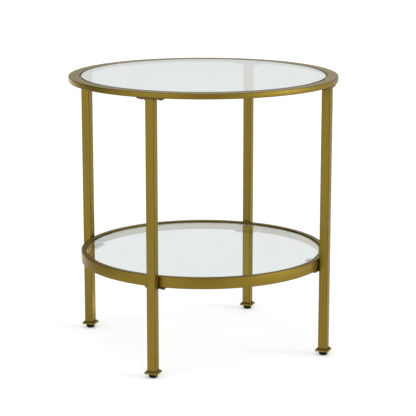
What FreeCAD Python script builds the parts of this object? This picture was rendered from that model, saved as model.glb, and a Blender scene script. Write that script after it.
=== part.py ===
import FreeCAD, Part
import math
import os
import re

import Sketcher

# A round side table with two tiers: two steel rings, each with a loose glass disc, on four square
# legs with levelling glides. Millimetres. Z is up, the floor is Z = 0 and the origin is on the
# floor under the centre of the table. The legs stand on the diagonals.
#
# Every leg piece is drawn as if its leg stood on +X, so X is radial, and its body is then turned
# about Z. Pieces that come in fours are one body with a polar pattern.

Vector = FreeCAD.Vector
document = FreeCAD.newDocument("TieredSideTable")

SIZES = [
    # the whole table
    ("table_height", 628, "floor to the top face of the upper ring"),
    ("table_diameter", 610, "outside of the upper ring"),
    ("shelf_height", 226, "floor to the top edge of the lower ring"),
    # ring tube, laid flat for the upper ring and on edge for the lower one
    ("tube_wide", 25, "long side of the ring tube"),
    ("tube_thin", 12, "short side of the ring tube"),
    ("ring_wall", 1.5, "wall of the ring tube"),
    ("ring_corner", 1.5, "outside corner radius of the ring tube"),
    ("shelf_ring_gap", 1.5, "lower ring to the inner face of a leg"),
    # legs
    ("leg_side", 20, "side of the square leg tube"),
    ("leg_wall", 1.2, "wall of the leg tube"),
    ("leg_corner", 1.5, "outside corner radius of the leg tube"),
    ("leg_setback", 1, "outer face of a leg behind the edge of the upper ring"),
    # plates welded to the legs
    ("flange_long", 60, "flange plate, along the ring"),
    ("flange_wide", 21, "flange plate, radially"),
    ("flange_thick", 2.5, "flange plate"),
    ("flange_pitch", 44, "between the two bolts of a flange plate"),
    ("bracket_long", 46, "shelf bracket, along the ring"),
    ("bracket_wide", 20, "shelf bracket, radially from the leg"),
    ("bracket_thick", 3, "shelf bracket"),
    ("bracket_pitch", 34, "between the two bolts of a shelf bracket"),
    ("plate_corner", 2, "corner radius of flange plate and bracket"),
    ("foot_side", 30, "square foot plate"),
    ("foot_thick", 4, "foot plate"),
    ("foot_corner", 1.5, "corner radius of the foot plate"),
    ("foot_hole", 9, "hole for the glide stem in the foot plate"),
    # button head bolts and the rivet nuts that take them
    ("bolt_shank", 5, "bolt shank diameter"),
    ("bolt_reach", 10, "bolt, under its head"),
    ("bolt_hole", 5.5, "bolt hole in a plate"),
    ("head_diameter", 9.5, "bolt head"),
    ("head_tall", 2.8, "bolt head"),
    ("head_rim", 0.5, "straight rim of the bolt head"),
    ("head_flat", 5, "flat on the bolt head round its socket"),
    ("socket_flats", 3, "hexagon socket across flats"),
    ("socket_deep", 1.6, "hexagon socket"),
    ("insert_diameter", 7, "hole in the ring for a rivet nut"),
    ("insert_tall", 9.5, "rivet nut, from the underside of the ring"),
    ("insert_bulge", 8.4, "set bulge of the rivet nut above the tube wall"),
    ("bulge_tall", 2.5, "height of that bulge"),
    ("fit_clearance", 0.05, "all round a shank, stem or collar in its bore"),
    # glass and what it lies on
    ("glass_thick", 5, "both glass discs"),
    ("glass_arris", 0.6, "ground edge of a glass disc"),
    ("glass_gap", 3.5, "glass edge to the inside of its ring"),
    ("top_recess", 0.1, "upper glass below the top of its ring"),
    ("shelf_recess", 3, "lower glass below the top of its ring"),
    ("bumper_diameter", 10, "clear bumper"),
    ("bumper_tall", 2, "clear bumper"),
    ("bumper_bevel", 0.6, "bevel round the top of a bumper"),
    ("tab_long", 22, "support tab, along the ring"),
    ("tab_reach", 20, "support tab, from the ring inwards"),
    ("tab_thick", 2, "support tab"),
    # levelling glides
    ("glide_height", 10, "floor to the underside of the foot plate"),
    ("glide_gap", 0.3, "top of the pad to the foot plate"),
    ("pad_diameter", 20, "glide pad"),
    ("pad_edge", 4.5, "rounded lower edge of the pad"),
    ("pad_floor", 2, "pad below the collar of the stem"),
    ("stem_diameter", 8, "glide stem"),
    ("stem_tall", 28, "glide stem with its collar"),
    ("collar_diameter", 12, "collar at the foot of the stem"),
    ("collar_thick", 2.5, "the same collar"),
    ("nut_flats", 13, "weld nut across flats"),
    ("nut_tall", 6.5, "weld nut"),
]

sheet = document.addObject("Spreadsheet::Sheet", "Sizes")
for row, (alias, value, meaning) in enumerate(SIZES, start=1):
    sheet.set(f"A{row}", meaning)
    sheet.set(f"B{row}", str(value))
    sheet.setAlias(f"B{row}", alias)
document.recompute()


ALIASES = {alias for alias, _, _ in SIZES}


def size(expression):
    """Writes an expression on the aliases in full: each alias becomes a cell of the sheet."""

    def cell(word):
        return f"Sizes.{word[0]}" if word[0] in ALIASES else word[0]

    return re.sub("[a-z_]+", cell, expression)


def amount(expression):
    """The value of an expression that size() wrote."""
    return float(sheet.evalExpression(expression))


# Levels and radii that several pieces share.
UPPER_UNDERSIDE = size("(table_height - tube_thin)")
FLANGE_UNDERSIDE = size("(table_height - tube_thin - flange_thick)")
LOWER_UNDERSIDE = size("(shelf_height - tube_wide)")
BRACKET_UNDERSIDE = size("(shelf_height - tube_wide - bracket_thick)")
FOOT_TOP = size("(glide_height + foot_thick)")
UPPER_RADIUS = size("(table_diameter / 2)")
LEG_RADIUS = size("(table_diameter / 2 - leg_setback - leg_side / 2)")
LEG_INNER_FACE = size("(table_diameter / 2 - leg_setback - leg_side)")
LOWER_RADIUS = size("(table_diameter / 2 - leg_setback - leg_side - shelf_ring_gap)")
LOWER_MIDDLE = f"({LOWER_RADIUS} - {size('tube_thin / 2')})"
UPPER_BORE = f"({UPPER_RADIUS} - {size('tube_wide')})"
LOWER_BORE = f"({LOWER_RADIUS} - {size('tube_thin')})"
TOP_GLASS_UNDERSIDE = size("(table_height - top_recess - glass_thick)")
SHELF_GLASS_UNDERSIDE = size("(shelf_height - shelf_recess - glass_thick)")
FLANGE_BOLT_SIDE = size("(flange_pitch / 2)")
BRACKET_BOLT_SIDE = size("(bracket_pitch / 2)")
# The bracket's bolts stand over the middle of the lower ring's tube, so X is less than its radius.
BRACKET_BOLT_X = f"sqrt({LOWER_MIDDLE} ^ 2 - {BRACKET_BOLT_SIDE} ^ 2)"

# The four corners of the table, with the turn about Z that brings +X to each.
CORNERS = {"back_right": 45, "back_left": 135, "front_left": 225, "front_right": 315}
FIRST_CORNER = CORNERS["back_right"]
QUARTERS = len(CORNERS)


# ---------------------------------------------------------------- drawing


def new_body(name, angle=FIRST_CORNER):
    """A body whose label is its node name, turned about Z to its corner of the table."""
    body = document.addObject("PartDesign::Body", name)
    body.Label = name
    body.Placement = FreeCAD.Placement(Vector(), FreeCAD.Rotation(Vector(0, 0, 1), angle))
    return body


def origin_feature(body, role):
    return next(item for item in body.Origin.OriginFeatures if item.Role == role)


def new_sketch(body, name, plane, **offsets):
    """A sketch on an origin plane of its own body, moved by expressions for x, y and z."""
    sketch = body.newObject("Sketcher::SketchObject", f"{body.Name}_{name}")
    sketch.AttachmentSupport = [(origin_feature(body, plane), "")]
    sketch.MapMode = "FlatFace"
    for direction, expression in offsets.items():
        sketch.setExpression(f"AttachmentOffset.Base.{direction}", expression)
    return sketch


def level_sketch(body, name, level, x="0", y="0"):
    """A sketch that lies level at a height, with its origin at x, y."""
    return new_sketch(body, name, "XY_Plane", x=x, y=y, z=level)


def upright_sketch(body, name, x="0", level="0", y="0"):
    """A sketch that stands along X, with its origin at x and at a height, and its plane at y."""
    return new_sketch(body, name, "XZ_Plane", x=x, y=level, z=f"-({y})")


def drive(sketch, constraint, expression):
    """Adds a driving dimension and binds it to its expression."""
    index = sketch.addConstraint(constraint)
    sketch.setExpression(f"Constraints[{index}]", expression)


def add_loop(sketch, points):
    """Straight lines through points and back to the first. Returns the first line's index."""
    first = sketch.GeometryCount
    count = len(points)
    for i in range(count):
        start = Vector(*points[i], 0)
        end = Vector(*points[(i + 1) % count], 0)
        sketch.addGeometry(Part.LineSegment(start, end), False)
    for i in range(count):
        sketch.addConstraint(
            Sketcher.Constraint("Coincident", first + i, 2, first + (i + 1) % count, 1)
        )
    return first


def add_rectangle(sketch, wide, high):
    """A rectangle about the sketch's origin."""
    half_wide = amount(wide) / 2
    half_high = amount(high) / 2
    first = add_loop(
        sketch,
        [
            (-half_wide, -half_high),
            (half_wide, -half_high),
            (half_wide, half_high),
            (-half_wide, half_high),
        ],
    )
    for side in (0, 2):
        sketch.addConstraint(Sketcher.Constraint("Horizontal", first + side))
        sketch.addConstraint(Sketcher.Constraint("Vertical", first + side + 1))
    sketch.addConstraint(Sketcher.Constraint("Symmetric", first, 1, first + 2, 1, -1, 1))
    drive(sketch, Sketcher.Constraint("DistanceX", first, 1, first, 2, 2 * half_wide), wide)
    drive(sketch, Sketcher.Constraint("DistanceY", first + 1, 1, first + 1, 2, 2 * half_high), high)


def add_circle(sketch, diameter):
    """A circle about the sketch's origin."""
    circle = Part.Circle(Vector(), Vector(0, 0, 1), amount(diameter) / 2)
    index = sketch.addGeometry(circle, False)
    sketch.addConstraint(Sketcher.Constraint("Coincident", index, 3, -1, 1))
    drive(sketch, Sketcher.Constraint("Diameter", index, amount(diameter)), diameter)


def add_hexagon(sketch, flats):
    """A regular hexagon about the sketch's origin, with two corners on its X axis."""
    radius = amount(flats) / math.sqrt(3)
    turns = [math.radians(60 * i) for i in range(6)]
    first = add_loop(sketch, [(radius * math.cos(t), radius * math.sin(t)) for t in turns])
    for side in range(1, 6):
        sketch.addConstraint(Sketcher.Constraint("Equal", first, first + side))
    guide = sketch.addGeometry(Part.Circle(Vector(), Vector(0, 0, 1), radius), True)
    sketch.addConstraint(Sketcher.Constraint("Coincident", guide, 3, -1, 1))
    for side in range(6):
        sketch.addConstraint(Sketcher.Constraint("PointOnObject", first + side, 1, guide))
    sketch.addConstraint(Sketcher.Constraint("PointOnObject", first, 1, -1))
    drive(sketch, Sketcher.Constraint("Radius", guide, radius), f"{flats} / sqrt(3)")


def place_point(sketch, line, across, up):
    """Fixes the start of a line at across, up from the sketch's origin."""
    for kind, expression, axis in (("DistanceX", across, -2), ("DistanceY", up, -1)):
        value = amount(expression)
        if expression == "0":
            sketch.addConstraint(Sketcher.Constraint("PointOnObject", line, 1, axis))
        elif value < 0:
            drive(sketch, Sketcher.Constraint(kind, line, 1, -1, 1, -value), f"-({expression})")
        else:
            drive(sketch, Sketcher.Constraint(kind, -1, 1, line, 1, value), expression)


def add_profile(sketch, corners):
    """A closed profile through corners, each a pair of expressions."""
    first = add_loop(sketch, [(amount(across), amount(up)) for across, up in corners])
    for i, (across, up) in enumerate(corners):
        place_point(sketch, first + i, across, up)


# ---------------------------------------------------------------- features


def add_pad(body, sketch, length):
    pad = body.newObject("PartDesign::Pad", f"{body.Name}_pad")
    pad.Profile = sketch
    pad.setExpression("Length", length)
    document.recompute()
    return pad


def add_pocket(body, sketch, length, name="pocket"):
    """A pocket that is cut upwards from its sketch."""
    pocket = body.newObject("PartDesign::Pocket", f"{body.Name}_{name}")
    pocket.Profile = sketch
    pocket.Reversed = True
    pocket.setExpression("Length", length)
    document.recompute()
    return pocket


def add_revolution(body, sketch, about_table=False):
    """Turns a sketch about its own upright axis, or about the table's."""
    revolution = body.newObject("PartDesign::Revolution", f"{body.Name}_revolution")
    revolution.Profile = sketch
    axis = (origin_feature(body, "Z_Axis"), [""]) if about_table else (sketch, ["V_Axis"])
    revolution.ReferenceAxis = axis
    revolution.Angle = 360
    document.recompute()
    return revolution


def dress_edges(body, base, kind, amount_name, expression, wanted):
    """A fillet or chamfer on the edges of the last feature that pass a test."""
    names = [f"Edge{i}" for i, edge in enumerate(base.Shape.Edges, start=1) if wanted(edge)]
    dressed = body.newObject(f"PartDesign::{kind}", f"{body.Name}_{kind.lower()}")
    dressed.Base = (base, names)
    dressed.setExpression(amount_name, expression)
    document.recompute()
    return dressed


def round_edges(body, base, radius, wanted):
    return dress_edges(body, base, "Fillet", "Radius", radius, wanted)


def is_upright(edge):
    """Whether an edge is a straight line along Z."""
    if not isinstance(edge.Curve, Part.Line):
        return False
    return abs(abs(edge.Curve.Direction.z) - 1) < 1e-6


def repeat_on_corners(body, originals, mirrored=False):
    """Repeats features at all four corners, and first on the other side of each leg if mirrored."""
    pattern = body.newObject("PartDesign::PolarPattern", f"{body.Name}_corners")
    pattern.Axis = (origin_feature(body, "Z_Axis"), [""])
    pattern.Angle = 360
    pattern.Occurrences = QUARTERS
    if not mirrored:
        pattern.Originals = originals
        body.Tip = pattern
        return
    mirror = body.newObject("PartDesign::Mirrored", f"{body.Name}_sides")
    mirror.MirrorPlane = (origin_feature(body, "XZ_Plane"), [""])
    both = body.newObject("PartDesign::MultiTransform", f"{body.Name}_all")
    both.Originals = originals
    both.Transformations = [mirror, pattern]
    body.Tip = both


# ---------------------------------------------------------------- rings


def make_ring(name, outer_radius, wide, high, top, bolt_x, bolt_side):
    """A rolled tube ring, with a hole in its underside for each rivet nut.

    wide is the tube's radial side and high its upright side.
    """
    body = new_body(name)
    section = upright_sketch(
        body, "section", x=f"{outer_radius} - {wide} / 2", level=f"{top} - {high} / 2"
    )
    add_rectangle(section, wide, high)
    wall = size("2 * ring_wall")
    add_rectangle(section, f"{wide} - {wall}", f"{high} - {wall}")
    ring = add_revolution(body, section, about_table=True)

    rim_radii = (amount(outer_radius), amount(outer_radius) - amount(wide))
    rim_levels = (amount(top), amount(top) - amount(high))

    def is_rim(edge):
        """Whether an edge is a corner of the tube's outside."""
        if not isinstance(edge.Curve, Part.Circle):
            return False
        right_radius = any(abs(edge.Curve.Radius - radius) < 1e-6 for radius in rim_radii)
        right_level = any(abs(edge.Curve.Center.z - level) < 1e-6 for level in rim_levels)
        return right_radius and right_level

    round_edges(body, ring, size("ring_corner"), is_rim)
    hole = level_sketch(body, "hole", f"{top} - {high}", x=bolt_x, y=bolt_side)
    add_circle(hole, size("insert_diameter"))
    drilled = add_pocket(body, hole, size("2 * ring_wall"), "hole_cut")
    repeat_on_corners(body, [drilled], mirrored=True)
    return body


def make_rivet_nuts(name, underside, bolt_x, bolt_side):
    """Eight set rivet nuts, each flush with the underside of its ring and bulged inside the wall."""
    body = new_body(name)
    profile = upright_sketch(body, "profile", x=bolt_x, level=underside, y=bolt_side)
    bore = size("bolt_shank / 2 + fit_clearance")
    barrel = size("insert_diameter / 2 - fit_clearance")
    bulge = size("insert_bulge / 2")
    bulge_foot = size("ring_wall + fit_clearance")
    bulge_top = size("ring_wall + fit_clearance + bulge_tall")
    top = size("insert_tall")
    add_profile(
        profile,
        [
            (bore, "0"),
            (barrel, "0"),
            (barrel, bulge_foot),
            (bulge, bulge_foot),
            (barrel, bulge_top),
            (barrel, top),
            (bore, top),
        ],
    )
    nut = add_revolution(body, profile)
    repeat_on_corners(body, [nut], mirrored=True)
    return body


def make_bolts(name, seat, bolt_x, bolt_side):
    """Eight button head bolts, heads down against a plate's underside."""
    body = new_body(name)
    profile = upright_sketch(body, "profile", x=bolt_x, level=seat, y=bolt_side)
    shank = size("bolt_shank / 2")
    head = size("head_diameter / 2")
    add_profile(
        profile,
        [
            ("0", size("bolt_reach")),
            (shank, size("bolt_reach")),
            (shank, "0"),
            (head, "0"),
            (head, size("-head_rim")),
            (size("head_flat / 2"), size("-head_tall")),
            ("0", size("-head_tall")),
        ],
    )
    bolt = add_revolution(body, profile)
    socket = level_sketch(
        body, "socket", f"{seat} - {size('head_tall')}", x=bolt_x, y=bolt_side
    )
    add_hexagon(socket, size("socket_flats"))
    socket_cut = add_pocket(body, socket, size("socket_deep"), "socket_cut")
    repeat_on_corners(body, [bolt, socket_cut], mirrored=True)
    return body


# ---------------------------------------------------------------- glass and its supports


def make_glass(name, ring_bore, underside):
    """A glass disc with ground arrises, loose inside its ring."""
    body = new_body(name)
    outline = level_sketch(body, "outline", underside)
    add_circle(outline, f"2 * ({ring_bore} - {size('glass_gap')})")
    disc = add_pad(body, outline, size("glass_thick"))

    def is_rim(edge):
        """Whether an edge is one of the disc's two circles."""
        return isinstance(edge.Curve, Part.Circle)

    dress_edges(body, disc, "Chamfer", "Size", size("glass_arris"), is_rim)
    return body


def add_tab_outline(sketch, radius, reach, long):
    """A tab that reaches inwards from a circle about the table's axis, square to X."""
    bore = amount(radius)
    half = amount(long) / 2
    inner = bore - amount(reach)
    outer = math.sqrt(bore**2 - half**2)
    turn = math.atan2(half, outer)
    corners = [(outer, half), (inner, half), (inner, -half), (outer, -half)]
    for start, end in zip(corners, corners[1:]):
        sketch.addGeometry(Part.LineSegment(Vector(*start, 0), Vector(*end, 0)), False)
    circle = Part.Circle(Vector(), Vector(0, 0, 1), bore)
    sketch.addGeometry(Part.ArcOfCircle(circle, -turn, turn), False)
    for side, next_side in ((0, 1), (1, 2)):
        sketch.addConstraint(Sketcher.Constraint("Coincident", side, 2, next_side, 1))
    sketch.addConstraint(Sketcher.Constraint("Coincident", 2, 2, 3, 1))
    sketch.addConstraint(Sketcher.Constraint("Coincident", 3, 2, 0, 1))
    sketch.addConstraint(Sketcher.Constraint("Coincident", 3, 3, -1, 1))
    for side in (0, 2):
        sketch.addConstraint(Sketcher.Constraint("Horizontal", side))
    place_point(sketch, 1, f"{radius} - {reach}", f"{long} / 2")
    place_point(sketch, 2, f"{radius} - {reach}", f"-{long} / 2")
    drive(sketch, Sketcher.Constraint("Radius", 3, bore), radius)


def make_tabs(name, ring_bore, glass_underside):
    """Four support tabs, welded to the inside of a ring, one at each leg."""
    body = new_body(name)
    thick = size("tab_thick")
    outline = level_sketch(body, "outline", f"{glass_underside} - {size('bumper_tall')} - {thick}")
    add_tab_outline(outline, ring_bore, size("tab_reach"), size("tab_long"))
    tab = add_pad(body, outline, thick)
    repeat_on_corners(body, [tab])
    return body


def make_bumpers(name, ring_bore, glass_underside):
    """Four clear bumpers that stand on the tabs and carry the glass."""
    body = new_body(name)
    profile = upright_sketch(
        body,
        "profile",
        x=f"{ring_bore} - {size('tab_reach / 2')}",
        level=f"{glass_underside} - {size('bumper_tall')}",
    )
    rim = size("bumper_diameter / 2")
    tall = size("bumper_tall")
    add_profile(
        profile,
        [
            ("0", "0"),
            (rim, "0"),
            (rim, size("bumper_tall - bumper_bevel")),
            (size("bumper_diameter / 2 - bumper_bevel"), tall),
            ("0", tall),
        ],
    )
    bumper = add_revolution(body, profile)
    repeat_on_corners(body, [bumper])
    return body


# ---------------------------------------------------------------- legs


def make_leg(corner, angle):
    """A length of square tube from the foot plate to the flange plate."""
    body = new_body(f"leg_{corner}", angle)
    section = level_sketch(body, "section", FOOT_TOP, x=LEG_RADIUS)
    add_rectangle(section, size("leg_side"), size("leg_side"))
    bore = size("leg_side - 2 * leg_wall")
    add_rectangle(section, bore, bore)
    tube = add_pad(body, section, f"{FLANGE_UNDERSIDE} - {FOOT_TOP}")
    half = amount(size("leg_side / 2"))

    def is_outer_corner(edge):
        """Whether an edge is one of the tube's four outside corners."""
        return is_upright(edge) and abs(abs(edge.Vertexes[0].Y) - half) < 1e-6

    round_edges(body, tube, size("leg_corner"), is_outer_corner)
    return body


def make_plate(name, angle, level, x, wide, long, thick, corner_radius):
    """A level rectangular plate with rounded corners. Its centre is at x."""
    body = new_body(name, angle)
    outline = level_sketch(body, "outline", level, x=x)
    add_rectangle(outline, wide, long)
    plate = add_pad(body, outline, thick)
    round_edges(body, plate, corner_radius, is_upright)
    return body


def drill_plate(body, level, x, thick, diameter, sides):
    """Drills a plate through at x and at each of the sides."""
    for number, side in enumerate(sides, start=1):
        hole = level_sketch(body, f"hole_{number}", level, x=x, y=side)
        add_circle(hole, diameter)
        add_pocket(body, hole, thick, f"hole_{number}_cut")


def make_flange_plate(corner, angle):
    """The plate on top of a leg, bolted up into the upper ring."""
    thick = size("flange_thick")
    body = make_plate(
        f"flange_plate_{corner}", angle, FLANGE_UNDERSIDE, LEG_RADIUS,
        size("flange_wide"), size("flange_long"), thick, size("plate_corner"),
    )
    sides = (FLANGE_BOLT_SIDE, f"-{FLANGE_BOLT_SIDE}")
    drill_plate(body, FLANGE_UNDERSIDE, LEG_RADIUS, thick, size("bolt_hole"), sides)
    return body


def make_shelf_bracket(corner, angle):
    """The plate on a leg's inner face, bolted up into the lower ring."""
    thick = size("bracket_thick")
    body = make_plate(
        f"shelf_bracket_{corner}", angle, BRACKET_UNDERSIDE,
        f"{LEG_INNER_FACE} - {size('bracket_wide / 2')}",
        size("bracket_wide"), size("bracket_long"), thick, size("plate_corner"),
    )
    sides = (BRACKET_BOLT_SIDE, f"-{BRACKET_BOLT_SIDE}")
    drill_plate(body, BRACKET_UNDERSIDE, BRACKET_BOLT_X, thick, size("bolt_hole"), sides)
    return body


def make_foot_plate(corner, angle):
    """The square plate under a leg, which the glide stem passes through."""
    level = size("glide_height")
    thick = size("foot_thick")
    body = make_plate(
        f"foot_plate_{corner}", angle, level, LEG_RADIUS,
        size("foot_side"), size("foot_side"), thick, size("foot_corner"),
    )
    drill_plate(body, level, LEG_RADIUS, thick, size("foot_hole"), ("0",))
    return body


def make_weld_nuts():
    """Four hexagon nuts, each welded on its foot plate inside the leg tube."""
    body = new_body("foot_weld_nuts")
    outline = level_sketch(body, "outline", FOOT_TOP, x=LEG_RADIUS)
    add_hexagon(outline, size("nut_flats"))
    add_circle(outline, size("stem_diameter + 2 * fit_clearance"))
    nut = add_pad(body, outline, size("nut_tall"))
    repeat_on_corners(body, [nut])
    return body


# ---------------------------------------------------------------- levelling glides


def make_glide_stem(corner, angle):
    """The stem of a glide: a shank with a collar that is held inside the pad."""
    body = new_body(f"glide_stem_{corner}", angle)
    profile = upright_sketch(body, "profile", x=LEG_RADIUS, level=size("pad_floor"))
    shank = size("stem_diameter / 2")
    collar = size("collar_diameter / 2")
    add_profile(
        profile,
        [
            ("0", "0"),
            (collar, "0"),
            (collar, size("collar_thick")),
            (shank, size("collar_thick")),
            (shank, size("stem_tall")),
            ("0", size("stem_tall")),
        ],
    )
    add_revolution(body, profile)
    return body


def make_glide_pad(corner, angle):
    """The pad of a glide, moulded round the collar of its stem."""
    body = new_body(f"glide_pad_{corner}", angle)
    profile = upright_sketch(body, "profile", x=LEG_RADIUS)
    rim = size("pad_diameter / 2")
    throat = size("stem_diameter / 2 + fit_clearance")
    pocket = size("collar_diameter / 2 + fit_clearance")
    pocket_floor = size("pad_floor - fit_clearance")
    pocket_roof = size("pad_floor + collar_thick + fit_clearance")
    top = size("glide_height - glide_gap")
    add_profile(
        profile,
        [
            ("0", "0"),
            (rim, "0"),
            (rim, top),
            (throat, top),
            (throat, pocket_roof),
            (pocket, pocket_roof),
            (pocket, pocket_floor),
            ("0", pocket_floor),
        ],
    )
    pad = add_revolution(body, profile)
    rim_radius = amount(rim)

    def is_lower_rim(edge):
        """Whether an edge is the circle where the pad's side meets its underside."""
        if not isinstance(edge.Curve, Part.Circle):
            return False
        return abs(edge.Curve.Radius - rim_radius) < 1e-6 and abs(edge.Curve.Center.z) < 1e-6

    round_edges(body, pad, size("pad_edge"), is_lower_rim)
    return body


# ---------------------------------------------------------------- the table


def make_table():
    """Every body of the table, one for each node."""
    flange_bolts = (LEG_RADIUS, FLANGE_BOLT_SIDE)
    bracket_bolts = (BRACKET_BOLT_X, BRACKET_BOLT_SIDE)
    wide = size("tube_wide")
    thin = size("tube_thin")
    bodies = [
        make_ring("top_ring", UPPER_RADIUS, wide, thin, size("table_height"), *flange_bolts),
        make_ring("shelf_ring", LOWER_RADIUS, thin, wide, size("shelf_height"), *bracket_bolts),
        make_rivet_nuts("top_rivet_nuts", UPPER_UNDERSIDE, *flange_bolts),
        make_rivet_nuts("shelf_rivet_nuts", LOWER_UNDERSIDE, *bracket_bolts),
        make_bolts("top_bolts", FLANGE_UNDERSIDE, *flange_bolts),
        make_bolts("shelf_bolts", BRACKET_UNDERSIDE, *bracket_bolts),
        make_glass("top_glass", UPPER_BORE, TOP_GLASS_UNDERSIDE),
        make_glass("shelf_glass", LOWER_BORE, SHELF_GLASS_UNDERSIDE),
        make_tabs("top_glass_tabs", UPPER_BORE, TOP_GLASS_UNDERSIDE),
        make_tabs("shelf_glass_tabs", LOWER_BORE, SHELF_GLASS_UNDERSIDE),
        make_bumpers("top_glass_bumpers", UPPER_BORE, TOP_GLASS_UNDERSIDE),
        make_bumpers("shelf_glass_bumpers", LOWER_BORE, SHELF_GLASS_UNDERSIDE),
        make_weld_nuts(),
    ]
    leg_pieces = (
        make_leg,
        make_flange_plate,
        make_shelf_bracket,
        make_foot_plate,
        make_glide_stem,
        make_glide_pad,
    )
    for corner, angle in CORNERS.items():
        bodies.extend(make_piece(corner, angle) for make_piece in leg_pieces)
    return bodies


bodies = make_table()
document.recompute()

for item in document.Objects:
    if {"Invalid", "Error"} & set(item.State):
        raise RuntimeError(f"{item.Label} did not compute: {item.State}")

os.makedirs("parts", exist_ok=True)
for body in bodies:
    if body.Shape.isNull() or not body.Shape.isValid():
        raise RuntimeError(f"{body.Label} has no valid shape")
    body.Shape.exportStep(f"parts/{body.Label}.step")
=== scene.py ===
"""A round side table with two tiers of clear glass in painted steel rings.

Every piece is made in metres, in place: Z is up, the floor is Z = 0 and the table's axis is the
Z axis. Leg pieces are worked out as if their leg stood on +X and are then turned to their corner.
"""

import logging
import math
from dataclasses import dataclass, field, replace
from enum import Enum

import bpy
import numpy as np
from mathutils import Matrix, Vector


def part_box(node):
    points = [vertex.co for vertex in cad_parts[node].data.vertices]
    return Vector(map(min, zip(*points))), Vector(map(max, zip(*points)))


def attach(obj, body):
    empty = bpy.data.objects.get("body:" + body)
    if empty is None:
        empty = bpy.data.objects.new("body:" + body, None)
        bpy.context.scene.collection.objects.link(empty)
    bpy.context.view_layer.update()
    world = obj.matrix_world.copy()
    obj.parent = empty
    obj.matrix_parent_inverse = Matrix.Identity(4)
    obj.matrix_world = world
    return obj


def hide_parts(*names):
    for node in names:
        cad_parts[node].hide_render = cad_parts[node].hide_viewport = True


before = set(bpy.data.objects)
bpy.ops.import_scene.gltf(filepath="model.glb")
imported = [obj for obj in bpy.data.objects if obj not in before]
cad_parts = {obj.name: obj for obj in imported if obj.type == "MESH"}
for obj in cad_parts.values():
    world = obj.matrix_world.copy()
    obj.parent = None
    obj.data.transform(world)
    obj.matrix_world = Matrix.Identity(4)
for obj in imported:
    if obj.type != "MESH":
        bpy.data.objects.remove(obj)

LOG = logging.getLogger("side_table")
MM = 0.001
FULL_TURN = 2 * math.pi
QUARTER_TURN = math.pi / 2
LEG_RADIUS = 294.0 * MM  # from the table's axis to the middle of a leg
Colour = tuple[float, float, float]
Material = bpy.types.Material
Node = bpy.types.Node
Socket = bpy.types.NodeSocket


class Corner(Enum):
    """The four corners of the table, each with its turn about Z in degrees."""

    BACK_RIGHT = 45
    BACK_LEFT = 135
    FRONT_LEFT = 225
    FRONT_RIGHT = 315

    @property
    def turn(self) -> float:
        """The turn about Z in radians."""
        return math.radians(self.value)

    def node(self, piece: str) -> str:
        """The name of a piece at this corner."""
        return f"{piece}_{self.name.lower()}"


class Slot(Enum):
    """The material slots of the record."""

    GOLD_PAINT = "gold_paint"
    GOLD_BOLT = "gold_bolt"
    CLEAR_GLASS = "clear_glass"
    CLEAR_SILICONE = "clear_silicone"
    BLACK_PLASTIC = "black_plastic"
    ZINC_STEEL = "zinc_steel"


# ---------------------------------------------------------------- finishes


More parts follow.
